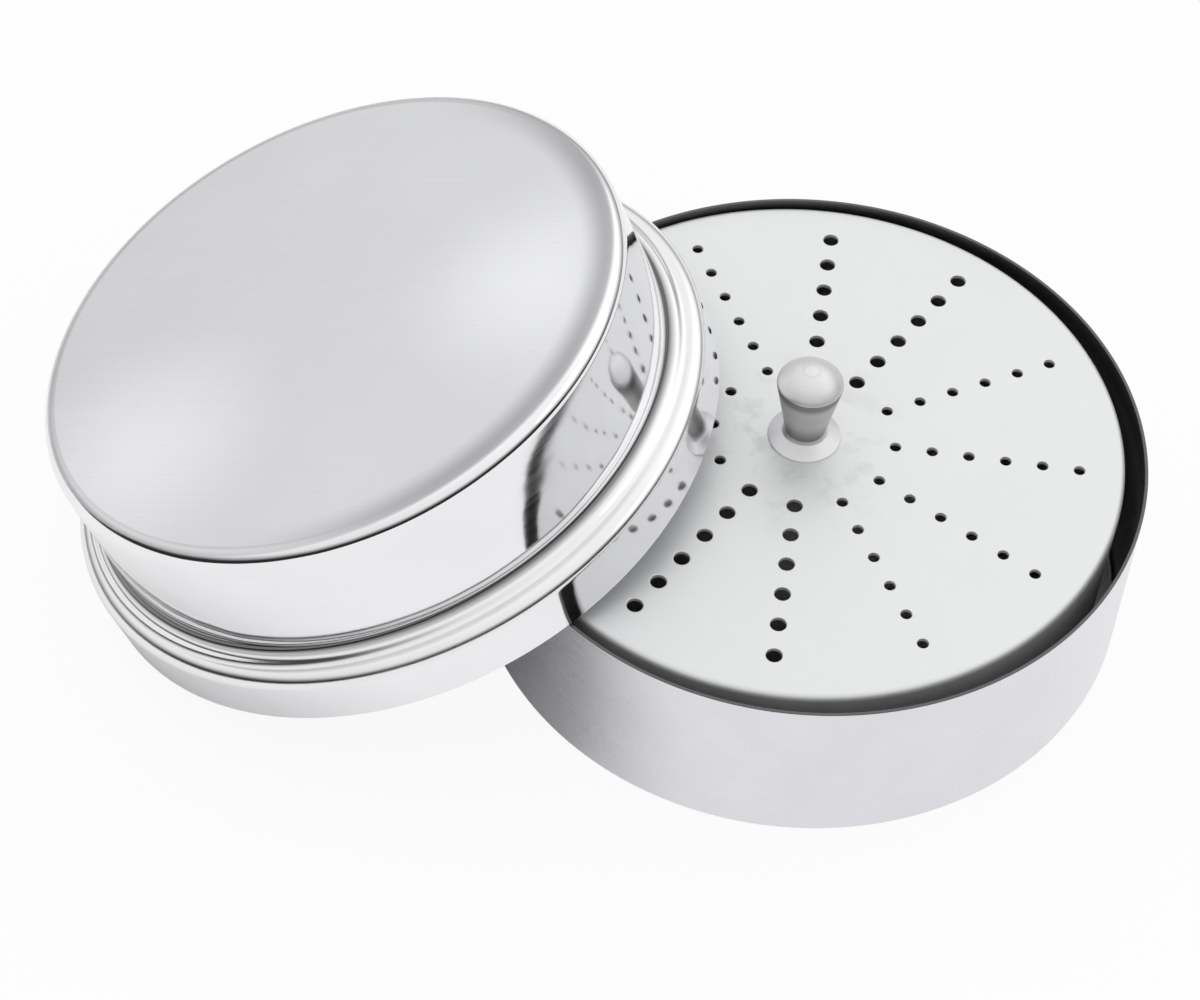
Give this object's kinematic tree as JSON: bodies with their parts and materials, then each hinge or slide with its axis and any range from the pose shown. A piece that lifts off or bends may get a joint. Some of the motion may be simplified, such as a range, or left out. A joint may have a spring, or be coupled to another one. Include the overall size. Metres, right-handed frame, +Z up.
{
  "type": "endodontic file box",
  "caption": "Round stainless steel box for root canal files: pan, perforated lift-out insert with a knob, and a stepped lid lying open against the pan.",
  "frame": {"origin": "centre of the pan's underside, on the bench", "axes": "+Z up along the pan's axis; the lid leans off the pan's -X side, so X is the length of the whole; +Y away from the picture's camera"},
  "size_m": [0.1651, 0.1066, 0.0624],
  "materials": {
    "pan_steel": "satin pressed stainless steel",
    "insert_steel": "fine matt satin stainless steel",
    "lid_steel": "linear brushed top face, mirror polished edge, wall and skirt",
    "knob_aluminium": "turned satin aluminium",
    "fastener_steel": "plain machine-finished stainless steel"
  },
  "bodies": {
    "base": {"base_pan": "pan_steel"},
    "insert": {"insert_plate": "insert_steel", "knob": "knob_aluminium", "knob_washer": "fastener_steel", "knob_spring_washer": "fastener_steel", "knob_screw": "fastener_steel"},
    "lid": {"lid_shell": "lid_steel"}
  },
  "joints": [
    {"name": "insert_lift", "type": "slide", "parent": "base", "child": "insert", "axis": [0, 0, 1], "range_m": [0, 0.04]},
    {"name": "lid_lift", "type": "slide", "parent": "insert", "child": "lid", "axis": [0, 0, 1], "range_m": [0, 0.06]}
  ]
}
